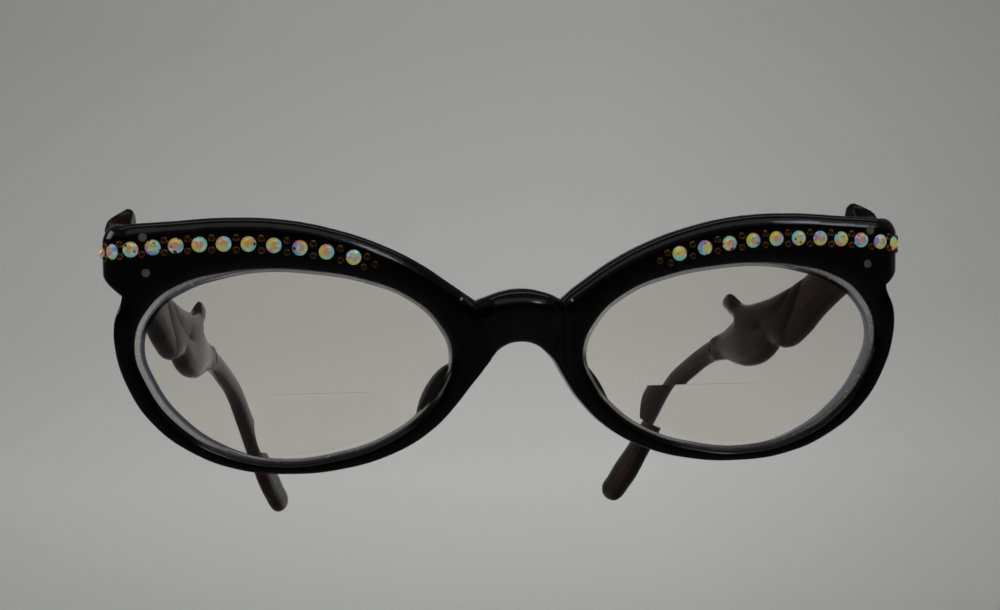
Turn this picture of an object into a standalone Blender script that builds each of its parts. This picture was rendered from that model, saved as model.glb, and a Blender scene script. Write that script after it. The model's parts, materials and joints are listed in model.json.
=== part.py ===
"""Cat-eye spectacles with a rhinestone brow, as separate pieces on two hinges.

Frame of the part: metres, +Z up, +X towards the wearer's left, the front
faces -Y.  The spectacles stand open on the lower edges of the two rims and
on the two temple tips, and the origin is on that plane, under the middle of
the whole object.  "left" and "right" in the names are the wearer's sides.
"""

import math

import bmesh
import bpy
from mathutils import Matrix, Vector

MM = 0.001

# ---------------------------------------------------------------- driving sizes
GAP = 0.3 * MM                  # clearance between pieces that touch
FRONT_THICK = 4.2 * MM          # acetate front, front face to back face
EDGE_ROUND = 0.8 * MM           # rounding of the front's edges
FRONT_LEAN = math.radians(12.0)  # the front leans forward at its top
RIM_DROP = 25.43 * MM           # bridge level down to the lowest rim edge
WRAP_DEPTH = 0.4 * MM           # how far the front sweeps back 60 mm out
BRIDGE_BOW = 3.0 * MM           # the saddle bridge stands proud of the rims
CORNER_START = 59.3 * MM        # where the endpiece starts to turn back
CORNER_RADIUS = 5.0 * MM
CORNER_ANGLE = math.radians(88)
CORNER_STEP = 1.3 * MM          # from one edge across the turn to the next
CORNER_LOW = -2.0 * MM          # below this height the rim stays flat
CORNER_HIGH = 3.0 * MM          # above this height the endpiece turns fully

LENS_THICK = 1.8 * MM
LENS_BITE = 0.9 * MM            # how far the lens edge reaches into its groove
SEGMENT_THICK = 0.5 * MM
SEGMENT_WIDTH = 20.0 * MM
SEGMENT_TOP = -13.1 * MM        # flat top of the reading segment
SEGMENT_CIRCLE_DROP = 4.5 * MM  # flat top down to the middle of its circle
SEGMENT_CENTRE = 30.7 * MM

PAD_X = 12.4 * MM               # built-up nose pad, on the back of the front
PAD_UP = -14.4 * MM
PAD_HALF_WIDTH = 1.9 * MM
PAD_HALF_HEIGHT = 6.0 * MM
PAD_DEPTH = 5.2 * MM
PAD_TURN = math.radians(29)
PAD_FLARE = math.radians(14)

STONE_COUNT = 12                # on each side of the brow
STONE_FIRST = 26.1 * MM         # from the middle of the bridge to the first stone
STONE_PITCH = 4.25 * MM
STONE_CLOSING = 0.053 * MM      # each step is twice this shorter than the last
STONE_RADIUS = 1.2 * MM
STONE_CROWN = 0.65 * MM
STONE_GIRDLE = 0.15 * MM
STONE_PAVILION = 0.75 * MM
STONE_SEAT = 0.25 * MM          # girdle below the brow's surface
ROW_PEAK = 10.2 * MM            # height of the row at its highest
ROW_PEAK_AT = 45.4 * MM
ROW_FALL_IN = 6.1               # fall of the row in metres per metre squared, inwards
ROW_FALL_OUT = 3.4              # and outwards

HINGE_X = 58.1 * MM             # hinge axis from the middle
HINGE_Y = 7.8 * MM              # and behind the middle of the bridge
HINGE_Z = 34.6 * MM             # middle of the hinge above the ground
BARREL_RADIUS = 1.5 * MM
BARREL_BORE = 0.85 * MM
BARREL_HEIGHT = 1.7 * MM
BARREL_STEP = 2.15 * MM         # from one barrel's middle to the next
PLATE_THICK = 0.9 * MM
FRONT_PLATE_X = (54.4 * MM, 59.6 * MM)
FRONT_PLATE_Y = 2.1 * MM        # front side of the plate, in the endpiece's recess
FRONT_PLATE_HEIGHT = 6.8 * MM
LEAF_X = (58.1 * MM, 59.5 * MM)
TEMPLE_PLATE_Y = (10.6 * MM, 18.2 * MM)
TEMPLE_PLATE_HEIGHT = 3.6 * MM
SCREW_CLEAR = 0.3 * MM          # screw head above the top barrel
SCREW_HEAD_HEIGHT = 0.5 * MM
SCREW_RADIUS = 0.55 * MM
SCREW_HEAD_RADIUS = 1.15 * MM
RIVET_RADIUS = 0.5 * MM
RIVET_HEAD_RADIUS = 0.66 * MM
RIVET_HEAD = 0.4 * MM
FRONT_RIVETS = ((58.2 * MM, 11.3 * MM), (57.8 * MM, 5.9 * MM))  # across, up
TEMPLE_RIVETS = (12.5 * MM, 16.4 * MM)                          # back from the bridge

TEMPLE_OUTER = 64.3 * MM        # outer face of the open temple
TEMPLE_THICK = 4.0 * MM
TEMPLE_THIN = 3.0 * MM          # thickness of the arm behind the wing
TEMPLE_CURVE_FROM = 105.0 * MM  # the tip starts to curve inwards here
TEMPLE_CURVE_IN = 2.5 * MM
FIN_BEVEL_FROM = 41.0 * MM      # the front fin slopes inwards above this height
FIN_BEVEL_SLOPE = 1.4
REAR_FIN_BACK = 66.0 * MM       # the rear fin thins towards its tip
REAR_FIN_LOW = 33.6 * MM
REAR_FIN_HIGH = 36.8 * MM
REAR_FIN_SHARE = 0.5            # of the thickness that is left at the tip
CORE_RADIUS = 0.55 * MM         # the wire inside each temple
FOLD_AT_REST = {"right": math.radians(13.6), "left": math.radians(4.4)}

SIDES = {"right": -1.0, "left": 1.0}

# ------------------------------------------------------------------ outlines, mm
# Half of the front's outline, from the top of the bridge round to its bottom.
# Each point is (across, up, corner?); across follows the surface of the front.
FRONT_HALF = (
    (0.0, 2.75, False), (3.6, 2.2, False), (6.9, 0.85, True), (10.5, 3.4, False),
    (15.5, 6.75, False), (21.5, 9.75, False), (28.5, 12.15, False), (36.5, 13.75, False),
    (45.5, 14.15, False), (54.0, 13.65, False), (61.5, 13.2, False), (68.8, 12.7, False),
    (71.4, 11.2, False), (71.4, 7.6, False), (68.6, 5.6, False), (65.0, 4.0, False),
    (61.8, 2.3, True), (62.6, -1.2, False), (62.6, -5.6, False), (60.8, -11.6, False),
    (57.1, -17.3, False),
    (51.4, -21.8, False), (44.2, -24.7, False), (36.0, -25.65, False), (28.0, -25.1, False),
    (20.5, -23.1, False), (14.6, -19.9, False), (10.2, -15.7, False), (7.0, -11.3, False),
    (4.7, -8.0, False), (2.5, -6.15, False), (0.0, -5.6, False),
)

# The lens opening on the +X side, clockwise from its nasal end.
OPENING = (
    (10.5, -7.7), (12.6, -2.6), (17.3, 1.6), (24.5, 4.45), (32.5, 5.85), (39.8, 6.25),
    (46.5, 5.65), (52.2, 4.2), (56.9, 1.1), (59.6, -4.9), (57.6, -11.9), (52.9, -17.9),
    (46.3, -21.9), (37.8, -23.8), (29.0, -23.1), (21.0, -20.6), (15.2, -16.6), (11.7, -12.0),
)

# Side view of the open temple: (back from the bridge, up from the ground, corner?).
TEMPLE_SIDE = (
    (9.7, 31.6, True), (7.8, 39.5, True), (12.2, 43.2, False), (15.6, 39.0, False),
    (22.0, 36.2, False), (32.0, 34.8, False), (44.0, 33.4, False), (57.0, 33.0, False),
    (67.0, 34.0, False), (74.8, 37.0, False), (76.6, 35.8, False), (73.2, 33.2, False),
    (69.2, 31.4, True), (77.0, 30.0, False), (88.0, 28.9, False), (99.0, 27.3, False),
    (110.0, 24.9, False), (121.0, 19.8, False), (134.0, 12.9, False), (147.0, 6.4, False),
    (151.6, 2.6, False), (148.6, 0.0, False), (140.0, 2.4, False), (129.0, 8.6, False),
    (117.0, 15.9, False), (107.0, 20.9, False), (96.0, 23.4, False), (86.0, 24.7, False),
    (77.0, 24.2, False), (71.0, 22.7, False), (64.0, 21.5, False), (56.5, 21.9, False),
    (51.0, 23.8, True), (45.2, 22.8, False), (39.0, 23.9, False), (31.0, 26.5, False),
    (21.5, 28.9, False), (14.0, 30.9, False),
)

# Middle line of the wire inside the temple, in the same side view.
CORE_LINE = (
    (10.0, 33.1), (18.0, 32.9), (30.0, 31.0), (42.0, 28.0), (62.0, 26.4), (84.0, 26.6), (98.0, 25.2),
    (109.0, 22.4), (121.0, 17.0), (132.0, 10.8), (141.5, 5.7),
)


# ------------------------------------------------------------------- small tools
def clear_scene():
    for obj in list(bpy.data.objects):
        bpy.data.objects.remove(obj, do_unlink=True)


def new_collection(name):
    collection = bpy.data.collections.new(name)
    bpy.context.scene.collection.children.link(collection)
    return collection


def material(name, colour, roughness, metallic=0.0, alpha=1.0):
    mat = bpy.data.materials.new(name)
    mat.use_nodes = True
    shader = mat.node_tree.nodes["Principled BSDF"]
    shader.inputs["Base Color"].default_value = (*colour, 1.0)
    shader.inputs["Roughness"].default_value = roughness
    shader.inputs["Metallic"].default_value = metallic
    shader.inputs["Alpha"].default_value = alpha
    mat.diffuse_color = (*colour, alpha)
    return mat


def face_outwards(bm):
    bmesh.ops.recalc_face_normals(bm, faces=bm.faces)
    if bm.calc_volume(signed=True) < 0.0:
        bmesh.ops.reverse_faces(bm, faces=bm.faces)


def mesh_object(name, bm, collection, mat=None):
    mesh = bpy.data.meshes.new(name)
    face_outwards(bm)
    bm.to_mesh(mesh)
    bm.free()
    mesh.shade_smooth()
    mesh.set_sharp_from_angle(angle=math.radians(35))
    obj = bpy.data.objects.new(name, mesh)
    collection.objects.link(obj)
    if mat is not None:
        mesh.materials.append(mat)
    return obj


def curve_from(name, outlines, resolution=2):
    """A 2D curve object of closed Bezier outlines, given in metres."""
    curve = bpy.data.curves.new(name, "CURVE")
    curve.dimensions = "2D"
    curve.fill_mode = "BOTH"
    curve.resolution_u = resolution
    for points in outlines:
        spline = curve.splines.new("BEZIER")
        spline.bezier_points.add(len(points) - 1)
        spline.use_cyclic_u = True
        for knot, (x, y, corner) in zip(spline.bezier_points, points):
            knot.co = (x, y, 0.0)
            handle = "VECTOR" if corner else "AUTO"
            knot.handle_left_type = handle
            knot.handle_right_type = handle
    obj = bpy.data.objects.new(name, curve)
    CUTTERS.objects.link(obj)
    return obj


def evaluated_bmesh(obj, weld=0.002 * MM):
    """The evaluated mesh of an object as a welded bmesh, in world space."""
    bpy.context.view_layer.update()
    depsgraph = bpy.context.evaluated_depsgraph_get()
    mesh = bpy.data.meshes.new_from_object(obj.evaluated_get(depsgraph))
    bm = bmesh.new()
    bm.from_mesh(mesh)
    bmesh.ops.transform(bm, matrix=obj.matrix_world, verts=bm.verts)
    bmesh.ops.remove_doubles(bm, verts=bm.verts, dist=weld)
    bpy.data.meshes.remove(mesh)
    return bm


def plate(name, outlines, thickness, rounding=0.0, grow=0.0, resolution=2):
    """A flat plate in the XY plane, z from 0 to thickness, as a bmesh."""
    obj = curve_from(name, outlines, resolution)
    obj.data.extrude = thickness / 2 - rounding
    obj.data.bevel_depth = rounding
    obj.data.bevel_resolution = 0
    obj.data.offset = grow - rounding
    obj.location.z = thickness / 2
    bm = evaluated_bmesh(obj)
    bpy.data.objects.remove(obj, do_unlink=True)
    return bm


def boolean(obj, cutter, operation="DIFFERENCE"):
    """Apply an exact Boolean and drop the cutter."""
    modifier = obj.modifiers.new("cut", "BOOLEAN")
    modifier.operation = operation
    modifier.object = cutter
    modifier.solver = "EXACT"
    bm = evaluated_bmesh(obj, weld=0.0005 * MM)
    obj.modifiers.clear()
    bm.to_mesh(obj.data)
    bm.free()
    obj.matrix_world = Matrix.Identity(4)
    bpy.data.objects.remove(cutter, do_unlink=True)


def finish_shading(obj):
    obj.data.shade_smooth()
    obj.data.set_sharp_from_angle(angle=math.radians(35))


def smoothstep(low, high, value):
    t = min(1.0, max(0.0, (value - low) / (high - low)))
    return t * t * (3.0 - 2.0 * t)


def add_cylinder(bm, radius, low, high, matrix=Matrix.Identity(4), segments=16, top=None):
    """A closed cylinder or cone along local Z, from low to high."""
    middle = Matrix.Translation((0.0, 0.0, (low + high) / 2))
    bmesh.ops.create_cone(
        bm, cap_ends=True, segments=segments, radius1=radius,
        radius2=radius if top is None else top, depth=high - low,
        matrix=matrix @ middle)


def add_box(bm, low, high, matrix=Matrix.Identity(4)):
    size = Vector(high) - Vector(low)
    middle = (Vector(high) + Vector(low)) / 2
    shape = Matrix.Translation(middle) @ Matrix.Diagonal((*size, 1.0))
    bmesh.ops.create_cube(bm, size=1.0, matrix=matrix @ shape)


# --------------------------------------------------------- the front's own surface
def plan_flat(across):
    """Plan position and inward normal of the front face, before the corner."""
    depth = WRAP_DEPTH * (across / (60 * MM)) ** 2
    slope = 2 * WRAP_DEPTH * across / (60 * MM) ** 2
    bow = BRIDGE_BOW * (1.0 - smoothstep(4.2 * MM, 9.5 * MM, abs(across)))
    normal = Vector((-slope, 1.0)).normalized()
    return Vector((across, depth - bow)), normal


def plan_corner(across):
    """Plan position and inward normal where the endpiece turns back."""
    start, start_normal = plan_flat(CORNER_START)
    heading = math.atan2(-start_normal.x, start_normal.y)
    turn = min((across - CORNER_START) / CORNER_RADIUS, CORNER_ANGLE)
    rest = across - CORNER_START - turn * CORNER_RADIUS
    centre = start + start_normal * CORNER_RADIUS
    angle = heading + turn
    outward = Vector((math.sin(angle), -math.cos(angle)))
    along = Vector((math.cos(angle), math.sin(angle)))
    return centre + outward * CORNER_RADIUS + along * rest, -outward


def bend_front(point):
    """Flat design point (across, up, depth) to its place in the part's frame."""
    across, up, depth = point
    side = -1.0 if across < 0.0 else 1.0
    across = abs(across)
    place, normal = plan_flat(across)
    if across > CORNER_START:
        corner_place, corner_normal = plan_corner(across)
        share = smoothstep(CORNER_LOW, CORNER_HIGH, up)
        place = place.lerp(corner_place, share)
        normal = normal.lerp(corner_normal, share).normalized()
    spot = place + normal * depth
    lean = Matrix.Rotation(FRONT_LEAN, 3, "X")
    spot = lean @ Vector((side * spot.x, spot.y, up))
    spot.z += RIM_DROP * math.cos(FRONT_LEAN)
    return spot


def bent(bm):
    for vertex in bm.verts:
        vertex.co = bend_front(vertex.co)
    return bm


def slice_across(bm, places, heights=()):
    """Add edges across the mesh, so that it can follow the front's curve."""
    for place in places:
        geometry = bm.verts[:] + bm.edges[:] + bm.faces[:]
        bmesh.ops.bisect_plane(
            bm, geom=geometry, dist=0.0005 * MM,
            plane_co=(place, 0.0, 0.0), plane_no=(1.0, 0.0, 0.0))
    for height in heights:
        faces = [f for f in bm.faces if abs(f.calc_center_median().x) > CORNER_START]
        edges = {edge for face in faces for edge in face.edges}
        verts = {vert for face in faces for vert in face.verts}
        bmesh.ops.bisect_plane(
            bm, geom=list(verts) + list(edges) + faces, dist=0.0005 * MM,
            plane_co=(0.0, height, 0.0), plane_no=(0.0, 1.0, 0.0))
    bmesh.ops.triangulate(bm, faces=[f for f in bm.faces if len(f.verts) > 4])


def front_outline():
    half = [(x * MM, y * MM, corner) for x, y, corner in FRONT_HALF]
    mirrored = [(-x, y, corner) for x, y, corner in half[-2:0:-1]]
    return half + mirrored


def opening_outline(side):
    points = [(side * x * MM, y * MM, False) for x, y in OPENING]
    return points if side < 0 else points[::-1]


def row_height(across):
    """Height of the stone row on the front, from its distance to the middle."""
    fall = ROW_FALL_OUT if across > ROW_PEAK_AT else ROW_FALL_IN
    return ROW_PEAK - fall * (across - ROW_PEAK_AT) ** 2


def stone_places():
    for number in range(STONE_COUNT):
        across = STONE_FIRST + STONE_PITCH * number - STONE_CLOSING * number ** 2
        yield number + 1, across, row_height(across)


def surface_matrix(side, across, up, depth=0.0):
    """Frame on the front's surface: local +Z points out of the surface."""
    step = 0.05 * MM
    here = bend_front((side * across, up, depth))
    right = bend_front((side * (across + step), up, depth)) - here
    above = bend_front((side * across, up + step, depth)) - here
    outward = right.cross(above) * side
    outward.normalize()
    above.normalize()
    right = above.cross(outward)
    matrix = Matrix((right, above, outward)).transposed().to_4x4()
    matrix.translation = here
    return matrix


# ------------------------------------------------------------------- the pieces
def build_front(mat):
    openings = [opening_outline(side) for side in (-1.0, 1.0)]
    bm = plate("front_outline", [front_outline(), *openings], FRONT_THICK, EDGE_ROUND)
    front = mesh_object("frame_front", bm, PART, mat)

    for side in (-1.0, 1.0):
        groove_height = LENS_THICK + 2 * GAP
        bm = plate("groove", [opening_outline(side)], groove_height, grow=LENS_BITE + GAP)
        lift = (FRONT_THICK - groove_height) / 2
        bmesh.ops.translate(bm, vec=(0.0, 0.0, lift), verts=bm.verts)
        boolean(front, mesh_object("groove", bm, CUTTERS))

    pockets = bmesh.new()
    bottom = STONE_SEAT + STONE_GIRDLE + STONE_PAVILION + GAP
    for side in (-1.0, 1.0):
        for _number, across, up in stone_places():
            place = Matrix.Translation((side * across, up, 0.0))
            place = place @ Matrix.Rotation(math.radians(22.5), 4, "Z")
            add_cylinder(pockets, STONE_RADIUS + GAP, -bottom, bottom, place, 8)
    boolean(front, mesh_object("stone_pockets", pockets, CUTTERS))

    bm = bmesh.new()
    bm.from_mesh(front.data)
    corner = [CORNER_START + step * CORNER_STEP for step in range(7)]
    plain = [step * 12.0 * MM for step in range(1, 5)]
    bridge = [4.2 * MM, 5.5 * MM, 6.9 * MM, 8.2 * MM, 9.5 * MM]
    half = corner + plain + bridge
    turning = [CORNER_LOW + step * (CORNER_HIGH - CORNER_LOW) / 4 for step in range(5)]
    slice_across(bm, [0.0] + half + [-place for place in half], turning)
    bent(bm)
    face_outwards(bm)
    bm.to_mesh(front.data)
    bm.free()

    cuts = bmesh.new()
    for side in (-1.0, 1.0):
        low = (FRONT_PLATE_X[0] - GAP, FRONT_PLATE_Y - GAP, HINGE_Z - FRONT_PLATE_HEIGHT / 2 - GAP)
        high = (FRONT_PLATE_X[1] + GAP, HINGE_Y + 5 * MM, HINGE_Z + FRONT_PLATE_HEIGHT / 2 + GAP)
        add_box(cuts, low, high, Matrix.Diagonal((side, 1.0, 1.0, 1.0)))
    boolean(front, mesh_object("hinge_recesses", cuts, CUTTERS))
    boolean(front, rivet_holes("front_rivet_holes"))
    finish_shading(front)
    return front


def front_rivet_place(side, across, up):
    """Frame of a front rivet, and its reach down to the back of the hinge plate."""
    matrix = surface_matrix(side, across, up)
    inward = -matrix.col[2].to_3d()
    reach = (FRONT_PLATE_Y + PLATE_THICK - matrix.translation.y) / inward.y
    return matrix, reach


def rivet_holes(name):
    holes = bmesh.new()
    for side in (-1.0, 1.0):
        for across, up in FRONT_RIVETS:
            matrix, reach = front_rivet_place(side, across, up)
            add_cylinder(holes, RIVET_HEAD_RADIUS + GAP, -reach - 1 * MM, 2 * MM, matrix, 12)
    return mesh_object(name, holes, CUTTERS)


def build_lens(name, side, mat):
    lift = (FRONT_THICK - LENS_THICK) / 2
    bm = plate("lens_outline", [opening_outline(side)], LENS_THICK, 0.4 * MM, LENS_BITE)
    bmesh.ops.translate(bm, vec=(0.0, 0.0, lift), verts=bm.verts)
    lens = mesh_object(name, bm, PART, mat)
    bm = segment_plate(side, lift - 1 * MM, lift + SEGMENT_THICK + GAP, GAP)
    boolean(lens, mesh_object("segment_recess", bm, CUTTERS))
    bend_object(lens, [side * step * 12.0 * MM for step in range(1, 5)])
    return lens


def segment_plate(side, low, high, grow):
    """Flat-top disc of the reading segment, kept inside the lens opening."""
    half = SEGMENT_WIDTH / 2 + grow
    below = SEGMENT_CIRCLE_DROP + grow
    radius = math.hypot(half, below)
    disc = bmesh.new()
    place = Matrix.Translation((side * SEGMENT_CENTRE, SEGMENT_TOP + grow - below, 0.0))
    add_cylinder(disc, radius, low, high, place, 48)
    plane = (0.0, SEGMENT_TOP + grow, 0.0)
    cut = bmesh.ops.bisect_plane(
        disc, geom=disc.verts[:] + disc.edges[:] + disc.faces[:],
        plane_co=plane, plane_no=(0.0, 1.0, 0.0), clear_outer=True)
    rim = [edge for edge in cut["geom_cut"] if isinstance(edge, bmesh.types.BMEdge)]
    bmesh.ops.holes_fill(disc, edges=rim)
    piece = mesh_object("segment_disc", disc, CUTTERS)
    inside = plate("segment_limit", [opening_outline(side)], high - low + 2 * MM, grow=grow - 0.6 * MM)
    bmesh.ops.translate(inside, vec=(0.0, 0.0, low - 1 * MM), verts=inside.verts)
    boolean(piece, mesh_object("segment_limit", inside, CUTTERS), "INTERSECT")
    bm = bmesh.new()
    bm.from_mesh(piece.data)
    bpy.data.objects.remove(piece, do_unlink=True)
    return bm


def bend_object(obj, places):
    bm = bmesh.new()
    bm.from_mesh(obj.data)
    slice_across(bm, places)
    bent(bm)
    face_outwards(bm)
    bm.to_mesh(obj.data)
    bm.free()
    finish_shading(obj)


def build_segment(name, side, mat):
    lift = (FRONT_THICK - LENS_THICK) / 2
    bm = segment_plate(side, lift, lift + SEGMENT_THICK, 0.0)
    segment = mesh_object(name, bm, PART, mat)
    bend_object(segment, [side * step * 12.0 * MM for step in range(2, 4)])
    return segment


def build_nose_pad(name, side, mat):
    """Built-up pad behind the nasal rim, flat where it meets the rim."""
    bm = bmesh.new()
    bmesh.ops.create_uvsphere(bm, u_segments=20, v_segments=12, radius=1.0)
    shape = Matrix.Diagonal((PAD_HALF_WIDTH, PAD_HALF_HEIGHT, PAD_DEPTH, 1.0))
    turn = Matrix.Rotation(side * PAD_TURN, 4, "Z")
    flare = Matrix.Rotation(side * PAD_FLARE, 4, "Y")
    place = Matrix.Translation((side * PAD_X, PAD_UP, FRONT_THICK + GAP - 0.8 * MM))
    bmesh.ops.transform(bm, matrix=place @ turn @ flare @ shape, verts=bm.verts)
    cut = bmesh.ops.bisect_plane(
        bm, geom=bm.verts[:] + bm.edges[:] + bm.faces[:],
        plane_co=(0.0, 0.0, FRONT_THICK + GAP), plane_no=(0.0, 0.0, -1.0), clear_outer=True)
    rim = [edge for edge in cut["geom_cut"] if isinstance(edge, bmesh.types.BMEdge)]
    bmesh.ops.holes_fill(bm, edges=rim)
    bent(bm)
    return mesh_object(name, bm, PART, mat)


def stone_mesh(mat):
    """An eight-sided chaton: pavilion, girdle and flat-topped crown."""
    profile = (
        (0.0, STONE_CROWN), (STONE_RADIUS * 0.56, STONE_CROWN), (STONE_RADIUS, 0.0),
        (STONE_RADIUS, -STONE_GIRDLE), (0.0, -STONE_GIRDLE - STONE_PAVILION),
    )
    mesh = bpy.data.meshes.new("chaton_profile")
    edges = [(index, index + 1) for index in range(len(profile) - 1)]
    mesh.from_pydata([(x, 0.0, z) for x, z in profile], edges, [])
    turned = bpy.data.objects.new("chaton_profile", mesh)
    CUTTERS.objects.link(turned)
    screw = turned.modifiers.new("turn", "SCREW")
    screw.steps = 8
    screw.render_steps = 8
    screw.use_merge_vertices = True
    screw.merge_threshold = 0.00001
    bm = evaluated_bmesh(turned)
    bpy.data.objects.remove(turned, do_unlink=True)
    face_outwards(bm)
    stone = bpy.data.meshes.new("rhinestone")
    bm.to_mesh(stone)
    bm.free()
    stone.materials.append(mat)
    return stone


def build_stones(mat):
    stone = stone_mesh(mat)
    for side_name, side in SIDES.items():
        for number, across, up in stone_places():
            obj = bpy.data.objects.new(f"rhinestone_{side_name}_{number:02d}", stone)
            PART.objects.link(obj)
            seat = Matrix.Translation((0.0, 0.0, -STONE_SEAT))
            obj.matrix_world = surface_matrix(side, across, up) @ seat


def barrel_heights(kind):
    steps = (-1, 1) if kind == "front" else (0,)
    for step in steps:
        middle = HINGE_Z + step * BARREL_STEP
        yield middle - BARREL_HEIGHT / 2, middle + BARREL_HEIGHT / 2


def hinge_half(name, kind, side, mat):
    """Plate, leaves and barrels of one half of a hinge, for the open temple."""
    flip = Matrix.Diagonal((side, 1.0, 1.0, 1.0))
    bm = bmesh.new()
    if kind == "front":
        low = (FRONT_PLATE_X[0], FRONT_PLATE_Y, HINGE_Z - FRONT_PLATE_HEIGHT / 2)
        high = (FRONT_PLATE_X[1], FRONT_PLATE_Y + PLATE_THICK, HINGE_Z + FRONT_PLATE_HEIGHT / 2)
    else:
        plate_x = TEMPLE_OUTER - TEMPLE_THICK - GAP
        low = (plate_x - PLATE_THICK, TEMPLE_PLATE_Y[0], HINGE_Z - TEMPLE_PLATE_HEIGHT / 2)
        high = (plate_x, TEMPLE_PLATE_Y[1], HINGE_Z + TEMPLE_PLATE_HEIGHT / 2)
    add_box(bm, low, high, flip)
    half = mesh_object(name, bm, PART, mat)
    bevel = half.modifiers.new("round", "BEVEL")
    bevel.width = 0.2 * MM
    bevel.segments = 1
    for bottom, top in barrel_heights(kind):
        leaf = bmesh.new()
        if kind == "front":
            leaf_low = (LEAF_X[0], FRONT_PLATE_Y + PLATE_THICK / 2, bottom)
            leaf_high = (LEAF_X[1], HINGE_Y, top)
        else:
            leaf_low = (low[0] + 0.05 * MM, HINGE_Y + 0.2 * MM, bottom)
            leaf_high = (high[0] - 0.05 * MM, TEMPLE_PLATE_Y[0] + 0.8 * MM, top)
        add_box(leaf, leaf_low, leaf_high, flip)
        boolean(half, mesh_object("leaf", leaf, CUTTERS), "UNION")
        barrel = bmesh.new()
        place = Matrix.Translation((side * HINGE_X, HINGE_Y, 0.0))
        add_cylinder(barrel, BARREL_RADIUS, bottom, top, place, 20)
        boolean(half, mesh_object("barrel", barrel, CUTTERS), "UNION")
        bore = bmesh.new()
        add_cylinder(bore, BARREL_BORE, bottom - 1 * MM, top + 1 * MM, place, 16)
        boolean(half, mesh_object("bore", bore, CUTTERS))
    holes = rivet_holes("rivet_holes") if kind == "front" else temple_rivet_holes(side)
    boolean(half, holes)
    finish_shading(half)
    return half


def temple_rivet_place(side, back):
    """Frame of a temple rivet on the open temple's outer face."""
    turn = Matrix.Rotation(side * math.radians(90), 4, "Y")
    return Matrix.Translation((side * TEMPLE_OUTER, back, HINGE_Z)) @ turn


def temple_rivet_holes(side):
    holes = bmesh.new()
    for back in TEMPLE_RIVETS:
        add_cylinder(
            holes, RIVET_HEAD_RADIUS + GAP, -TEMPLE_THICK - 3 * MM, 2 * MM,
            temple_rivet_place(side, back), 12)
    return mesh_object("temple_rivet_holes", holes, CUTTERS)


def build_rivet(name, matrix, reach, mat):
    """A turned rivet: flush outer head, shank, and a wider peened inner head."""
    inner = -reach - GAP
    profile = (
        (0.0, 0.0), (RIVET_HEAD_RADIUS, -0.05 * MM), (RIVET_HEAD_RADIUS, -RIVET_HEAD),
        (RIVET_RADIUS, -RIVET_HEAD - 0.1 * MM), (RIVET_RADIUS, inner),
        (RIVET_HEAD_RADIUS, inner), (RIVET_HEAD_RADIUS * 0.8, inner - RIVET_HEAD),
        (0.0, inner - RIVET_HEAD * 1.2),
    )
    mesh = bpy.data.meshes.new(name)
    edges = [(index, index + 1) for index in range(len(profile) - 1)]
    mesh.from_pydata([(x, 0.0, z) for x, z in profile], edges, [])
    turned = bpy.data.objects.new("rivet_profile", mesh)
    CUTTERS.objects.link(turned)
    screw = turned.modifiers.new("turn", "SCREW")
    screw.steps = 12
    screw.render_steps = 12
    screw.use_merge_vertices = True
    screw.merge_threshold = 0.00001
    bm = evaluated_bmesh(turned)
    bpy.data.objects.remove(turned, do_unlink=True)
    rivet = mesh_object(name, bm, PART, mat)
    rivet.matrix_world = matrix
    return rivet


def build_hinge_screw(name, side, mat):
    bottom = HINGE_Z - BARREL_STEP - BARREL_HEIGHT / 2 - 0.1 * MM
    under_head = HINGE_Z + BARREL_STEP + BARREL_HEIGHT / 2 + SCREW_CLEAR
    bm = bmesh.new()
    add_cylinder(bm, SCREW_RADIUS, bottom, under_head + 0.2 * MM, segments=14)
    screw = mesh_object(name, bm, PART, mat)
    head = bmesh.new()
    add_cylinder(head, SCREW_HEAD_RADIUS, under_head, under_head + SCREW_HEAD_HEIGHT,
                 segments=20, top=SCREW_HEAD_RADIUS * 0.8)
    boolean(screw, mesh_object("screw_head", head, CUTTERS), "UNION")
    slot = bmesh.new()
    top = under_head + SCREW_HEAD_HEIGHT
    add_box(slot, (-2 * MM, -0.14 * MM, top - 0.25 * MM), (2 * MM, 0.14 * MM, top + 1 * MM))
    boolean(screw, mesh_object("screw_slot", slot, CUTTERS))
    screw.location = (side * HINGE_X, HINGE_Y, 0.0)
    finish_shading(screw)
    return screw


def bend_temple(bm, side):
    """Flat side view (back, up, depth from the outer face) to the open temple."""
    for vertex in bm.verts:
        back, up, depth = vertex.co
        thin = smoothstep(62 * MM, 84 * MM, back)
        depth *= 1.0 + (TEMPLE_THIN / TEMPLE_THICK - 1.0) * thin
        beyond = max(0.0, back - TEMPLE_CURVE_FROM) / (45 * MM)
        depth += TEMPLE_CURVE_IN * beyond ** 2
        vertex.co = (side * (TEMPLE_OUTER - depth), back, up)


def smooth_line(points, steps):
    """Points along a smooth curve (Catmull-Rom) through the given ones."""
    knots = [Vector(point) for point in points]
    knots = [2 * knots[0] - knots[1], *knots, 2 * knots[-1] - knots[-2]]
    line = []
    for a, b, c, d in zip(knots, knots[1:], knots[2:], knots[3:]):
        for step in range(steps):
            t = step / steps
            line.append(0.5 * (
                2 * b + (c - a) * t + (2 * a - 5 * b + 4 * c - d) * t ** 2
                + (3 * b - a - 3 * c + d) * t ** 3))
    line.append(knots[-2])
    return line


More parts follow.
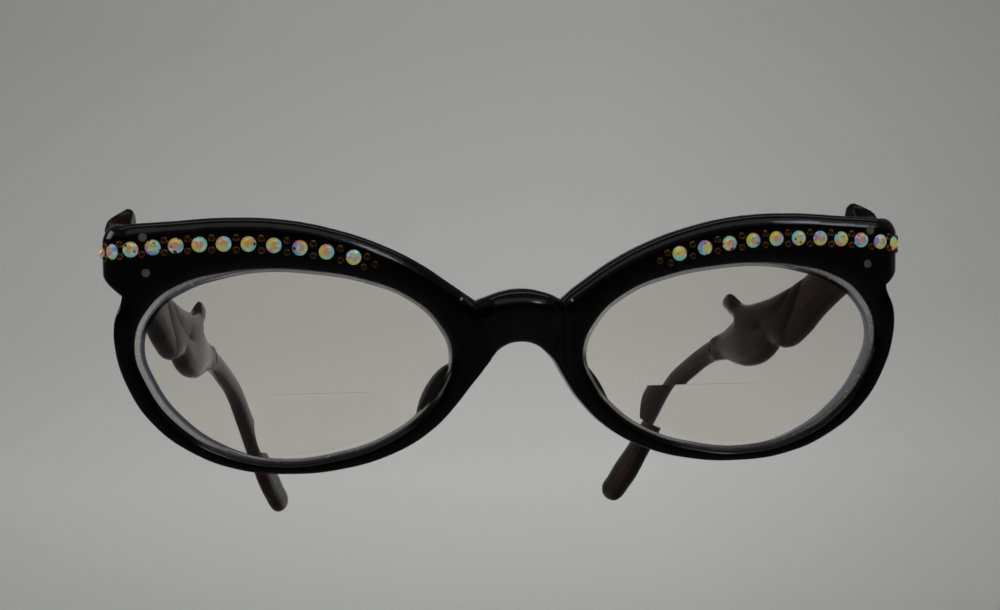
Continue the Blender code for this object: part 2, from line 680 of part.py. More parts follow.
def core_tube(radius, lead_in=0.0):
    """The core line as a tube with closed ends, in the temple's flat side view.

    lead_in lengthens the tube straight on, out of the temple's front end.
    """
    line = smooth_line([(x * MM, y * MM) for x, y in CORE_LINE], 3)
    if lead_in > 0.0:
        line.insert(0, line[0] + (line[0] - line[1]).normalized() * lead_in)
    curve = bpy.data.curves.new("core", "CURVE")
    curve.dimensions = "3D"
    curve.bevel_depth = radius
    curve.bevel_resolution = 1
    curve.use_fill_caps = True
    spline = curve.splines.new("POLY")
    spline.points.add(len(line) - 1)
    for knot, (back, up) in zip(spline.points, line):
        knot.co = (back, up, TEMPLE_THICK / 2, 1.0)
    obj = bpy.data.objects.new("core", curve)
    CUTTERS.objects.link(obj)
    bm = evaluated_bmesh(obj)
    bpy.data.objects.remove(obj, do_unlink=True)
    return bm


def bevel_fin(bm):
    """Slope the front fin's outer side down to a thin top."""
    cut = bmesh.ops.bisect_plane(
        bm, geom=bm.verts[:] + bm.edges[:] + bm.faces[:],
        plane_co=(0.0, FIN_BEVEL_FROM, 0.0), plane_no=(0.0, FIN_BEVEL_SLOPE, -1.0), clear_outer=True)
    rim = [edge for edge in cut["geom_cut"] if isinstance(edge, bmesh.types.BMEdge)]
    bmesh.ops.holes_fill(bm, edges=rim)


def taper_rear_fin(bm):
    """Thin the rear fin evenly from both sides, towards its tip."""
    middle = TEMPLE_THICK / 2
    for vert in bm.verts:
        if vert.co.x > REAR_FIN_BACK and vert.co.y > REAR_FIN_LOW:
            share = min(1.0, (vert.co.y - REAR_FIN_LOW) / (REAR_FIN_HIGH - REAR_FIN_LOW))
            vert.co.z = middle + (vert.co.z - middle) * (1.0 - (1.0 - REAR_FIN_SHARE) * share)


def build_temple(name, side, mat):
    outline = [(x * MM, y * MM, corner) for x, y, corner in TEMPLE_SIDE]
    bm = plate("temple_outline", [outline], TEMPLE_THICK, 0.7 * MM, resolution=3)
    temple = mesh_object(name, bm, PART, mat)
    channel = core_tube(CORE_RADIUS + GAP, lead_in=4 * MM)
    boolean(temple, mesh_object("core_channel", channel, CUTTERS))
    bm = bmesh.new()
    bm.from_mesh(temple.data)
    bevel_fin(bm)
    places = [62, 69, 77, 84, 105, 113, 121, 129, 137, 145]
    slice_across(bm, [place * MM for place in places])
    taper_rear_fin(bm)
    bend_temple(bm, side)
    face_outwards(bm)
    bm.to_mesh(temple.data)
    bm.free()
    boolean(temple, temple_rivet_holes(side))
    finish_shading(temple)
    return temple


def build_core_wire(name, side, mat):
    bm = core_tube(CORE_RADIUS)
    bend_temple(bm, side)
    return mesh_object(name, bm, PART, mat)


def hinge_axis(side_name):
    """Empty on the hinge axis; turning it folds everything on the temple."""
    side = SIDES[side_name]
    empty = bpy.data.objects.new(f"hinge_axis_{side_name}", None)
    PART.objects.link(empty)
    empty.location = (side * HINGE_X, HINGE_Y, HINGE_Z)
    return empty


def rest_on_ground():
    """Move everything so that the origin is under the middle of the whole object."""
    bpy.context.view_layer.update()
    pieces = [obj for obj in PART.objects if obj.type == "MESH"]
    spots = [obj.matrix_world @ vertex.co for obj in pieces for vertex in obj.data.vertices]
    low = Vector([min(spot[axis] for spot in spots) for axis in range(3)])
    high = Vector([max(spot[axis] for spot in spots) for axis in range(3)])
    shift = Vector(((low.x + high.x) / 2, (low.y + high.y) / 2, low.z))
    for obj in PART.objects:
        if obj.parent is None:
            obj.location -= shift


def main():
    acetate = material("black_acetate", (0.012, 0.009, 0.012), 0.12)
    temple_acetate = material("temple_acetate", (0.035, 0.022, 0.018), 0.16)
    glass = material("tinted_lens", (0.83, 0.77, 0.72), 0.02, alpha=0.3)
    crystal = material("aurora_crystal", (0.75, 0.85, 0.82), 0.05)
    nickel = material("nickel_silver", (0.55, 0.53, 0.46), 0.3, metallic=1.0)
    steel = material("core_steel", (0.5, 0.5, 0.5), 0.35, metallic=1.0)

    build_front(acetate)
    build_stones(crystal)
    for side_name, side in SIDES.items():
        build_lens(f"lens_{side_name}", side, glass)
        build_segment(f"reading_segment_{side_name}", side, glass)
        build_nose_pad(f"nose_pad_{side_name}", side, acetate)
        hinge_half(f"hinge_front_{side_name}", "front", side, nickel)
        build_hinge_screw(f"hinge_screw_{side_name}", side, nickel)
        for place, (across, up) in zip(("upper", "lower"), FRONT_RIVETS):
            matrix, reach = front_rivet_place(side, across, up)
            build_rivet(f"front_rivet_{place}_{side_name}", matrix, reach, nickel)

        moving = [
            build_temple(f"temple_{side_name}", side, temple_acetate),
            build_core_wire(f"temple_core_wire_{side_name}", side, steel),
            hinge_half(f"hinge_temple_{side_name}", "temple", side, nickel),
        ]
        for place, back in zip(("front", "rear"), TEMPLE_RIVETS):
            reach = TEMPLE_THICK + GAP + PLATE_THICK
            matrix = temple_rivet_place(side, back)
            moving.append(build_rivet(f"temple_rivet_{place}_{side_name}", matrix, reach, nickel))
        bpy.context.view_layer.update()
        axis = hinge_axis(side_name)
        bpy.context.view_layer.update()
        for piece in moving:
            piece.parent = axis
            piece.matrix_parent_inverse = axis.matrix_world.inverted()
        axis.rotation_euler.z = side * FOLD_AT_REST[side_name]
    rest_on_ground()


clear_scene()
PART = new_collection("cat_eye_spectacles")
CUTTERS = new_collection("cutters")
main()
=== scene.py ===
import json
import math
import random

import bpy
import bmesh
import numpy as np
from mathutils import Matrix, Vector
from mathutils.geometry import delaunay_2d_cdt


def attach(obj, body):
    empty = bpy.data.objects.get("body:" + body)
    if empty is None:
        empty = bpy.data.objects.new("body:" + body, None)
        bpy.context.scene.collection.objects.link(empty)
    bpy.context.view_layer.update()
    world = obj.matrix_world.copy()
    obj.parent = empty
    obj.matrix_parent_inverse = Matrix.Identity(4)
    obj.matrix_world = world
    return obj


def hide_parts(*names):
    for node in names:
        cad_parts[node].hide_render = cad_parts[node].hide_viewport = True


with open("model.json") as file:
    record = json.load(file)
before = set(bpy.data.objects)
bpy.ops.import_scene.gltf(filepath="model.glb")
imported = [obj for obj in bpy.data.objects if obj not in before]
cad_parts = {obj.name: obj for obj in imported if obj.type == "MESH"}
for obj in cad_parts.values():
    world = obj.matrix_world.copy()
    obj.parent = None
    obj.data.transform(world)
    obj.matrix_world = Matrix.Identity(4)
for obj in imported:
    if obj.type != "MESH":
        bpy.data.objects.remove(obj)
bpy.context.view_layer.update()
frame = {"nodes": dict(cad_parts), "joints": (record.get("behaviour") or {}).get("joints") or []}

# ------------------------------------------------------------------ sizes, mm
# The front is drawn flat, as (across, up, depth from its front face), and then bent.
FINE = 0.5     # spacing of points on the sculpted pieces
SIDES = {"right": -1.0, "left": 1.0}  # the wearer's sides

THICK = 4.2                           # the front, face to face
FRONT_ROUND = 0.8                     # rounding of its edges
LEAN = math.radians(12.0)             # its top leans forward
RIM_DROP = 25.43                      # bridge level down to the lowest rim edge
WRAP_DEPTH = 0.4                      # how far it sweeps back 60 mm out
BRIDGE_BOW = 3.0                      # the bridge stands proud of the rims
CORNER_START = 59.3                   # where the endpiece turns back
CORNER_RADIUS = 5.0
CORNER_ANGLE = math.radians(88)
CORNER_LOW, CORNER_HIGH = -2.0, 3.0   # the turn fades in between these heights
CREASE_AT, CREASE_UP, CREASE_SLOPE = 6.9, 0.85, 0.19  # between the bridge and a rim

STONE_COUNT = 12
STONE_RADIUS = 1.2
STONE_FIRST, STONE_PITCH, STONE_CLOSING = 26.1, 4.25, 0.053
STONE_SINK = 0.22                     # girdle below the brow's surface
ROW_PEAK, ROW_PEAK_AT = 10.2, 45.4
ROW_FALL_IN, ROW_FALL_OUT = 0.0061, 0.0034
BEAD_OFF_ROW = 0.92                   # beads above and below the row of stones
BEADLESS_GAP = 9                      # no upper bead here: a rivet takes its place

HINGE = np.array([58.1, 7.8, 34.6])
HINGE_RECESS = ((54.1, 1.8, 30.9), (59.9, 12.8, 38.3))
FRONT_RIVETS = ((58.2, 11.3), (57.8, 5.9))
TEMPLE_RIVETS = (12.5, 16.4)
RIVET_PIT = 0.7                       # radius of the hole round a rivet's head

LENS_MIDDLE = (34.4, -8.6)
LENS_HALF = (24.0, 15.2)
LENS_BULGE = 0.9
LENS_THICK = 1.9
SEGMENT_CENTRE = (30.7, -17.6)
SEGMENT_TOP = -13.1
SEGMENT_RADIUS = 10.97

PAD_AT = (12.4, -14.4)
PAD_HALF = (1.9, 6.0, 5.2)            # half width, half height, depth
PAD_TURN, PAD_FLARE = math.radians(29), math.radians(14)

TEMPLE_OUTER, TEMPLE_THICK, TEMPLE_THIN = 64.3, 4.0, 3.0
TEMPLE_ROUND = 0.9
TIP_CURVE_FROM, TIP_CURVE_SPAN, TIP_CURVE = 105.0, 45.0, 2.5
FIN_BEVEL_FROM, FIN_BEVEL_SLOPE = 41.0, 1.4
REAR_FIN_LOW, REAR_FIN_RISE = 33.6, 3.2  # the rear fin thins over this height
REAR_FIN_SHARE = 0.5                  # of its thickness, left at its tip
FEATHER_DEPTH = 0.6
SEAM_AT = 82.5                        # groove where the wing ends

# half of the front's outline: (across, up, corner?)
FRONT_HALF = (
    (0.0, 2.75, False), (3.6, 2.2, False), (6.9, 0.85, True), (10.5, 3.4, False),
    (15.5, 6.75, False), (21.5, 9.75, False), (28.5, 12.15, False), (36.5, 13.75, False),
    (45.5, 14.15, False), (54.0, 13.65, False), (61.5, 13.2, False), (68.8, 12.7, False),
    (71.4, 11.2, False), (71.4, 7.6, False), (68.6, 5.6, False), (65.0, 4.0, False),
    (61.8, 2.3, True), (62.6, -1.2, False), (62.6, -5.6, False), (60.8, -11.6, False),
    (57.1, -17.3, False),
    (51.4, -21.8, False), (44.2, -24.7, False), (36.0, -25.65, False), (28.0, -25.1, False),
    (20.5, -23.1, False), (14.6, -19.9, False), (10.2, -15.7, False), (7.0, -11.3, False),
    (4.7, -8.0, False), (2.5, -6.15, False), (0.0, -5.6, False),
)
# the lens opening on the +X side, clockwise from its nasal end
OPENING = (
    (10.5, -7.7), (12.6, -2.6), (17.3, 1.6), (24.5, 4.45), (32.5, 5.85), (39.8, 6.25),
    (46.5, 5.65), (52.2, 4.2), (56.9, 1.1), (59.6, -4.9), (57.6, -11.9), (52.9, -17.9),
    (46.3, -21.9), (37.8, -23.8), (29.0, -23.1), (21.0, -20.6), (15.2, -16.6), (11.7, -12.0),
)
# side view of the open temple: (back from the bridge, up from the ground, corner?)
TEMPLE_SIDE = (
    (9.7, 31.6, True), (7.8, 39.5, True), (12.2, 43.2, False), (15.6, 39.0, False),
    (22.0, 36.2, False), (32.0, 34.8, False), (44.0, 33.4, False), (57.0, 33.0, False),
    (67.0, 34.0, False), (74.8, 37.0, False), (76.6, 35.8, False), (73.2, 33.2, False),
    (69.2, 31.4, True), (77.0, 30.0, False), (88.0, 28.9, False), (99.0, 27.3, False),
    (110.0, 24.9, False), (121.0, 19.8, False), (134.0, 12.9, False), (147.0, 6.4, False),
    (151.6, 2.6, False), (148.6, 0.0, False), (140.0, 2.4, False), (129.0, 8.6, False),
    (117.0, 15.9, False), (107.0, 20.9, False), (96.0, 23.4, False), (86.0, 24.7, False),
    (77.0, 24.2, False), (71.0, 22.7, False), (64.0, 21.5, False), (56.5, 21.9, False),
    (51.0, 23.8, True), (45.2, 22.8, False), (39.0, 23.9, False), (31.0, 26.5, False),
    (21.5, 28.9, False), (14.0, 30.9, False),
)
# carved edges where the feathers of each wing overlap
FEATHERS = (
    ((33.0, 35.6), (35.0, 32.2), (38.5, 28.6), (42.0, 26.0), (46.0, 22.2)),
    ((38.5, 35.2), (40.5, 32.4), (44.5, 29.8), (50.0, 28.2), (55.0, 27.6)),
)

joints = {joint["child"]: joint for joint in frame["joints"]}
AXIS = np.array(joints["temple_left"]["pos_m"]) * 1000
SHIFT = AXIS - HINGE
FOLD = {name: -math.radians(joints["temple_" + name]["range_deg"][0]) for name in SIDES}


# -------------------------------------------------------------- small functions
def smoothstep(low, high, value):
    t = np.clip((value - low) / (high - low), 0.0, 1.0)
    return t * t * (3.0 - 2.0 * t)


def ramp(value, rounding):
    """max(0, value) with a rounded knee."""
    return 0.5 * (value + np.sqrt(value * value + rounding * rounding))


def evaluated_mesh(obj):
    bpy.context.view_layer.update()
    graph = bpy.context.evaluated_depsgraph_get()
    return bpy.data.meshes.new_from_object(obj.evaluated_get(graph))


def smooth_outline(points, spacing):
    """Evenly spaced points along the closed Bezier outline that the CAD uses."""
    curve = bpy.data.curves.new("outline", "CURVE")
    curve.dimensions = "2D"
    curve.fill_mode = "NONE"
    curve.resolution_u = 24
    spline = curve.splines.new("BEZIER")
    spline.bezier_points.add(len(points) - 1)
    spline.use_cyclic_u = True
    for knot, (x, y, corner) in zip(spline.bezier_points, points):
        knot.co = (x, y, 0.0)
        knot.handle_left_type = knot.handle_right_type = "VECTOR" if corner else "AUTO"
    obj = bpy.data.objects.new("outline", curve)
    bpy.context.scene.collection.objects.link(obj)
    mesh = evaluated_mesh(obj)
    line = np.array([vertex.co[:2] for vertex in mesh.vertices])
    bpy.data.objects.remove(obj)
    bpy.data.meshes.remove(mesh)
    stops = [int(np.argmin(np.hypot(*(line - (x, y)).T))) for x, y, corner in points if corner]
    stops = sorted(stops) or [0]
    out = []
    # corners stay points of the result: each stretch between two is spaced on its own
    for start, end in zip(stops, stops[1:] + [stops[0] + len(line)]):
        span = line[np.arange(start, end + 1) % len(line)]
        along = np.concatenate([[0.0], np.cumsum(np.hypot(*np.diff(span, axis=0).T))])
        count = max(2, round(along[-1] / spacing))
        steps = np.linspace(0.0, along[-1], count + 1)[:-1]
        out.append(np.stack([np.interp(steps, along, span[:, axis]) for axis in (0, 1)], 1))
    return np.concatenate(out)


def area(loop):
    x, y = loop.T
    return 0.5 * float(np.sum(x * np.roll(y, -1) - np.roll(x, -1) * y))


def turned(loop, counter_clockwise):
    return loop if (area(loop) > 0) == counter_clockwise else loop[::-1]


def opening_loop(side, spacing, counter_clockwise):
    outline = smooth_outline([(side * x, y, False) for x, y in OPENING], spacing)
    return turned(outline, counter_clockwise)


def left_normals(loop):
    along = np.roll(loop, -1, 0) - np.roll(loop, 1, 0)
    along /= np.hypot(*along.T)[:, None]
    return np.stack([-along[:, 1], along[:, 0]], 1)


def inside(points, loop):
    x, y = points.T
    found = np.zeros(len(points), bool)
    for (ax, ay), (bx, by) in zip(loop, np.roll(loop, -1, 0)):
        if ay != by:
            crossing = (bx - ax) * (y - ay) / (by - ay) + ax
            found ^= ((ay > y) != (by > y)) & (x < crossing)
    return found


def nearest(points, line, closed=True):
    """Distance to a line and the index of its nearest segment."""
    start = line if closed else line[:-1]
    along = (np.roll(line, -1, 0) if closed else line[1:]) - start
    length = (along ** 2).sum(1)
    distance, index = np.zeros(len(points)), np.zeros(len(points), int)
    for low in range(0, len(points), 2000):
        part = points[low:low + 2000, None, :] - start[None]
        share = np.clip((part * along).sum(2) / length, 0.0, 1.0)
        gap = np.hypot(*np.moveaxis(part - share[..., None] * along, 2, 0))
        index[low:low + 2000] = gap.argmin(1)
        distance[low:low + 2000] = gap.min(1)
    return distance, index


def hex_points(low, high, spacing):
    """Points in staggered rows over a box."""
    rows = np.arange(low[1], high[1], spacing * 0.866)
    out = []
    for number, y in enumerate(rows):
        x = np.arange(low[0] + (number % 2) * spacing / 2, high[0], spacing)
        out.append(np.stack([x, np.full(len(x), y)], 1))
    return np.concatenate(out)


def triangulate(points, loops):
    """Delaunay triangles of the points, with the loops' edges kept."""
    every = list(points)
    edges = []
    for loop in loops:
        first, count = len(every), len(loop)
        every.extend(loop)
        edges += [(first + step, first + (step + 1) % count) for step in range(count)]
    spots = [Vector((float(x), float(y))) for x, y in every]
    found = delaunay_2d_cdt(spots, edges, [], 0, 1e-5)
    verts = np.array([tuple(vert) for vert in found[0]])
    tris = np.array([face for face in found[2] if len(face) == 3])
    first, second, third = verts[tris[:, 0]], verts[tris[:, 1]], verts[tris[:, 2]]
    turn = np.cross(second - first, third - first)
    tris[turn < 0] = tris[turn < 0][:, ::-1]
    return verts, tris[np.abs(turn) > 1e-9]


def mesh_piece(name, verts, faces, materials, body, stands_for=(), angle=35,
               indices=None):
    """A mesh object, given in millimetres, that rides on a CAD body."""
    mesh = bpy.data.meshes.new(name)
    spots = (np.asarray(verts) / 1000).tolist()
    mesh.from_pydata(spots, [], [list(map(int, face)) for face in faces])
    for mat in materials:
        mesh.materials.append(mat)
    if indices is not None:
        mesh.polygons.foreach_set("material_index", np.asarray(indices, np.int32))
    mesh.validate()
    mesh.update()
    bm = bmesh.new()
    bm.from_mesh(mesh)
    bmesh.ops.recalc_face_normals(bm, faces=bm.faces)
    if bm.calc_volume(signed=True) < 0:
        bmesh.ops.reverse_faces(bm, faces=bm.faces)
    bm.to_mesh(mesh)
    bm.free()
    mesh.shade_smooth()
    mesh.set_sharp_from_angle(angle=math.radians(angle))
    obj = bpy.data.objects.new(name, mesh)
    bpy.context.scene.collection.objects.link(obj)
    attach(obj, body)
    if stands_for:
        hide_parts(*stands_for)
    return obj


def solid(verts, tris, front_depth, back_depth, pits=(), pit_depth=1.3):
    """A plate between two depths over a triangulated region, with round pits."""
    middles = verts[tris].mean(1)
    pitted = np.zeros(len(tris), bool)
    for pit in pits:
        pitted |= inside(middles, pit)
    count = len(verts)
    front = np.column_stack([verts, front_depth])
    back = np.column_stack([verts, back_depth])
    out = [front, back]
    faces = [tuple(tri[::-1]) for tri in tris[~pitted]]
    faces += [tuple(tri + count) for tri in tris]
    edges = dict.fromkeys(
        edge for a, b, c in tris for edge in ((a, b), (b, c), (c, a)))
    for a, b in edges:
        if (b, a) not in edges:
            faces.append((b + count, a + count, a, b))
    total = 2 * count
    for pit in pits:
        ring = [int(np.argmin(np.hypot(*(verts - spot).T))) for spot in pit]
        floor = np.column_stack([verts[ring], front_depth[ring] + pit_depth])
        middle = floor.mean(0)
        out += [floor, middle[None]]
        size = len(ring)
        for step in range(size):
            after = (step + 1) % size
            faces.append((ring[step], ring[after], total + after, total + step))
            faces.append((total + step, total + after, total + size))
        total += size + 1
    return np.concatenate(out), faces


# ------------------------------------------------------ the front's bent surface
def plan_flat(across):
    depth = WRAP_DEPTH * (across / 60.0) ** 2
    slope = 2 * WRAP_DEPTH * across / 60.0 ** 2
    bow = BRIDGE_BOW * (1.0 - smoothstep(4.2, 9.5, across))
    normal = np.stack([-slope, np.ones_like(slope)], 1)
    normal /= np.hypot(*normal.T)[:, None]
    return np.stack([across, depth - bow], 1), normal


def plan_corner(across):
    start, start_normal = (part[0] for part in plan_flat(np.array([CORNER_START])))
    heading = math.atan2(-start_normal[0], start_normal[1])
    turn = np.minimum((across - CORNER_START) / CORNER_RADIUS, CORNER_ANGLE)
    rest = across - CORNER_START - turn * CORNER_RADIUS
    angle = heading + turn
    outward = np.stack([np.sin(angle), -np.cos(angle)], 1)
    along = np.stack([np.cos(angle), np.sin(angle)], 1)
    centre = start + start_normal * CORNER_RADIUS
    return centre + outward * CORNER_RADIUS + along * rest[:, None], -outward


def bend_front(points):
    """Flat design points (across, up, depth) to their places in the row frame, in mm."""
    points = np.asarray(points, float)
    across, up, depth = np.abs(points[:, 0]), points[:, 1], points[:, 2]
    side = np.where(points[:, 0] < 0, -1.0, 1.0)
    place, normal = plan_flat(across)
    beyond = across > CORNER_START
    corner_place, corner_normal = plan_corner(np.maximum(across, CORNER_START))
    share = (smoothstep(CORNER_LOW, CORNER_HIGH, up) * beyond)[:, None]
    place = place + (corner_place - place) * share
    normal = normal + (corner_normal - normal) * share
    normal /= np.hypot(*normal.T)[:, None]
    x, y = (place + normal * depth[:, None]).T
    cos, sin = math.cos(LEAN), math.sin(LEAN)
    spots = np.stack([side * x, y * cos - up * sin, y * sin + up * cos + RIM_DROP * cos], 1)
    return spots + SHIFT


def surface_matrix(side, across, up):
    """Frame on the front's surface, in metres: local +Z points out of the surface."""
    step = 0.05
    spots = [(side * across, up, 0.0), (side * (across + step), up, 0.0),
             (side * across, up + step, 0.0)]
    here, right, above = (Vector(spot) / 1000 for spot in bend_front(spots))
    right, above = right - here, above - here
    outward = (right.cross(above) * side).normalized()
    above.normalize()
    matrix = Matrix((above.cross(outward), above, outward)).transposed().to_4x4()
    matrix.translation = here
    return matrix


def stone_places():
    """Number, across and up of each stone on one side of the brow."""
    for number in range(STONE_COUNT):
        across = STONE_FIRST + STONE_PITCH * number - STONE_CLOSING * number ** 2
        yield number + 1, across, row_height(across)


def row_height(across):
    fall = ROW_FALL_OUT if across > ROW_PEAK_AT else ROW_FALL_IN
    return ROW_PEAK - fall * (across - ROW_PEAK_AT) ** 2


def rings_of(loop, distances):
    normals = left_normals(loop)
    return [loop + normals * distance for distance in distances]


def round_edge(distance, radius):
    """Depth of a rounded edge, from the distance to the outline."""
    inner = np.clip(radius - distance, 0.0, radius)
    return radius - np.sqrt(np.maximum(radius * radius - inner * inner, 0.0))


def edge_rings(radius):
    """Distances from the outline at which a rounded edge gets a ring of points."""
    return [radius * (1.0 - math.cos(angle)) for angle in np.linspace(0.0, math.pi / 2, 7)]


def circle(x, y, radius, count=28):
    turn = np.linspace(0.0, 2 * math.pi, count, endpoint=False)
    return np.stack([x + radius * np.cos(turn), y + radius * np.sin(turn)], 1)


# ------------------------------------------------------------------- materials
def node_material(name, colour, roughness, metallic=0.0):
    mat = bpy.data.materials.new(name)
    mat.use_nodes = True
    nodes, links = mat.node_tree.nodes, mat.node_tree.links
    shader = nodes["Principled BSDF"]
    shader.inputs["Base Color"].default_value = (*colour, 1.0)
    shader.inputs["Roughness"].default_value = roughness
    shader.inputs["Metallic"].default_value = metallic
    return mat, nodes, links, shader


def noise(nodes, links, scale, detail=3.0, stretch=(1.0, 1.0, 1.0)):
    coordinates = nodes.new("ShaderNodeTexCoord")
    mapping = nodes.new("ShaderNodeMapping")
    mapping.inputs["Scale"].default_value = stretch
    texture = nodes.new("ShaderNodeTexNoise")
    texture.inputs["Scale"].default_value = scale
    texture.inputs["Detail"].default_value = detail
    links.new(coordinates.outputs["Object"], mapping.inputs["Vector"])
    links.new(mapping.outputs["Vector"], texture.inputs["Vector"])
    return texture.outputs["Fac"]


def mapped(nodes, links, value, low, high, start=0.3, end=0.7):
    scaled = nodes.new("ShaderNodeMapRange")
    scaled.inputs["From Min"].default_value = start
    scaled.inputs["From Max"].default_value = end
    scaled.inputs["To Min"].default_value = low
    scaled.inputs["To Max"].default_value = high
    links.new(value, scaled.inputs["Value"])
    return scaled.outputs["Result"]


def multiplied(nodes, links, first, second):
    product = nodes.new("ShaderNodeMath")
    product.operation = "MULTIPLY"
    links.new(first, product.inputs[0])
    links.new(second, product.inputs[1])
    return product.outputs["Value"]


def colour_ramp(nodes, links, value, stops):
    band = nodes.new("ShaderNodeValToRGB")
    while len(band.color_ramp.elements) < len(stops):
        band.color_ramp.elements.new(0.5)
    for element, (place, colour) in zip(band.color_ramp.elements, stops):
        element.position = place
        element.color = (*colour, 1.0)
    links.new(value, band.inputs["Fac"])
    return band.outputs["Color"]


def bumped(nodes, links, shader, height, strength, distance):
    bump = nodes.new("ShaderNodeBump")
    bump.inputs["Strength"].default_value = strength
    bump.inputs["Distance"].default_value = distance
    links.new(height, bump.inputs["Height"])
    links.new(bump.outputs["Normal"], shader.inputs["Normal"])


def acetate(name, stops, rough=(0.07, 0.16), shine=0.4, grain=90.0):
    mat, nodes, links, shader = node_material(name, stops[0][1], 0.1)
    shader.inputs["Specular IOR Level"].default_value = shine
    depth = noise(nodes, links, grain, 4.0)
    links.new(colour_ramp(nodes, links, depth, stops), shader.inputs["Base Color"])
    wear = noise(nodes, links, 420.0, 5.0, (1.0, 1.0, 0.35))
    links.new(mapped(nodes, links, wear, *rough), shader.inputs["Roughness"])
    bumped(nodes, links, shader, noise(nodes, links, 160.0, 2.0), 0.05, 0.00006)
    return mat


def metal(name, stops, rough, scale=700.0):
    mat, nodes, links, shader = node_material(name, stops[0][1], 0.3, 1.0)
    tarnish = noise(nodes, links, scale, 5.0)
    links.new(colour_ramp(nodes, links, tarnish, stops), shader.inputs["Base Color"])
    brushed = noise(nodes, links, 1800.0, 3.0, (1.0, 1.0, 6.0))
    links.new(mapped(nodes, links, brushed, *rough), shader.inputs["Roughness"])
    bumped(nodes, links, shader, brushed, 0.25, 0.00003)
    return mat


def glass(name, tint, roughness=0.0, speck=(0.0, 0.03), index=1.5):
    mat, nodes, links, shader = node_material(name, tint, roughness)
    shader.inputs["Transmission Weight"].default_value = 1.0
    shader.inputs["IOR"].default_value = index
    dust = noise(nodes, links, 2600.0, 6.0)
    links.new(mapped(nodes, links, dust, *speck, 0.66, 0.74), shader.inputs["Roughness"])
    return mat


BLACK = acetate("black_acetate",
                [(0.3, (0.0045, 0.0026, 0.0044)), (0.7, (0.0075, 0.0042, 0.0064))])
BROWN = acetate("temple_acetate", [(0.38, (0.008, 0.005, 0.005)), (0.62, (0.06, 0.018, 0.011))],
                (0.1, 0.2), 0.18, 42.0)
PAD = acetate("pad_acetate", [(0.3, (0.012, 0.011, 0.012)), (0.7, (0.02, 0.017, 0.016))],
              (0.18, 0.3))
NICKEL = metal("nickel_silver", [(0.35, (0.42, 0.4, 0.31)), (0.7, (0.55, 0.53, 0.45))], (0.3, 0.5))
RIVET = metal("rivet_heads", [(0.35, (0.55, 0.54, 0.36)), (0.7, (0.72, 0.7, 0.52))], (0.5, 0.65))
STEEL = metal("core_steel", [(0.35, (0.4, 0.4, 0.41)), (0.7, (0.52, 0.52, 0.52))], (0.25, 0.4))
BRASS = metal("bead_brass", [(0.3, (0.2, 0.09, 0.025)), (0.7, (0.5, 0.27, 0.09))],
              (0.12, 0.26), 1500.0)
LENS = glass("lens_glass", (0.99, 0.95, 0.9))
SEGMENT = glass("segment_glass", (1.0, 0.998, 0.995), index=1.32)
LINE = glass("segment_line", (0.5, 0.49, 0.48), 0.3, (0.2, 0.4))
GROUND = glass("ground_edge", (0.62, 0.59, 0.56), 0.3, (0.25, 0.4))
# painted shade: a dark-tinted band of glass just inside the ground edge stands in for the dark
# line that the lens edge shows
EDGE_SHADE_GLASS = glass("lens_edge_painted_shade", (0.1, 0.1, 0.15), 0.1, (0.1, 0.2))

# the colours that the crystals' aurora coating splits the light into; white is painted sparkle,
# and dark is painted shade and painted dark reflections
PALETTE = {
    "cyan": (0.4, 0.9, 0.95), "sky": (0.32, 0.6, 0.98), "gold": (0.98, 0.86, 0.2),
    "pink": (0.98, 0.5, 0.36), "mint": (0.6, 0.97, 0.62), "violet": (0.55, 0.42, 0.88),
    "orange": (0.99, 0.56, 0.16), "white": (0.95, 0.98, 0.93), "dark": (0.12, 0.07, 0.16),
}


def crystal(name, colour):
    """One facet colour; the weak emission is painted light, standing in for the light that the
    foil behind a rhinestone sends back.
    """
    mat, nodes, links, shader = node_material("crystal_" + name, colour, 0.12, 0.25)
    shade = noise(nodes, links, 1300.0, 2.0)
    paler = colour if name == "dark" else tuple(0.55 * part + 0.45 * 0.9 for part in colour)
    stops = [(0.38, colour), (0.68, paler)]
    links.new(colour_ramp(nodes, links, shade, stops), shader.inputs["Base Color"])
    links.new(mapped(nodes, links, shade, 0.05, 0.2), shader.inputs["Roughness"])
    # painted light: the facet emits its own colour, though it is no lamp
    painted_glow = [part ** 1.25 for part in colour]
    shader.inputs["Emission Color"].default_value = (*painted_glow, 1.0)
    shader.inputs["Emission Strength"].default_value = 0.24
    return mat


CRYSTALS = {name: crystal(name, colour) for name, colour in PALETTE.items()}


# -------------------------------------------------------------------- the front
def front_sculpt(points, outline, openings):
    """Depth of the carved front face, and of the rounded edges on their own."""
    outer, index = nearest(points, outline)
    normals = left_normals(outline)
    facing_down = -normals[index, 1]
    inner = np.minimum(*(nearest(points, loop)[0] for loop in openings))
    top = smoothstep(0.15, 0.6, facing_down)
    brow = 1.35 * np.clip(1.0 - outer / 2.6, 0.0, 1.0) ** 1.7 * top
    lens_side = 0.45 * np.clip(1.0 - inner / 1.5, 0.0, 1.0) ** 2
    x, y = np.abs(points[:, 0]), points[:, 1]
    crease = CREASE_AT + (y - CREASE_UP) * CREASE_SLOPE
    share = np.maximum(0.0, 1.0 - (x / crease) ** 2)
    saddle = share * (-0.7 + 0.075 * (y + 0.4) ** 2)
    edge = round_edge(np.minimum(outer, inner), FRONT_ROUND)
    return brow + lens_side + saddle + edge, edge


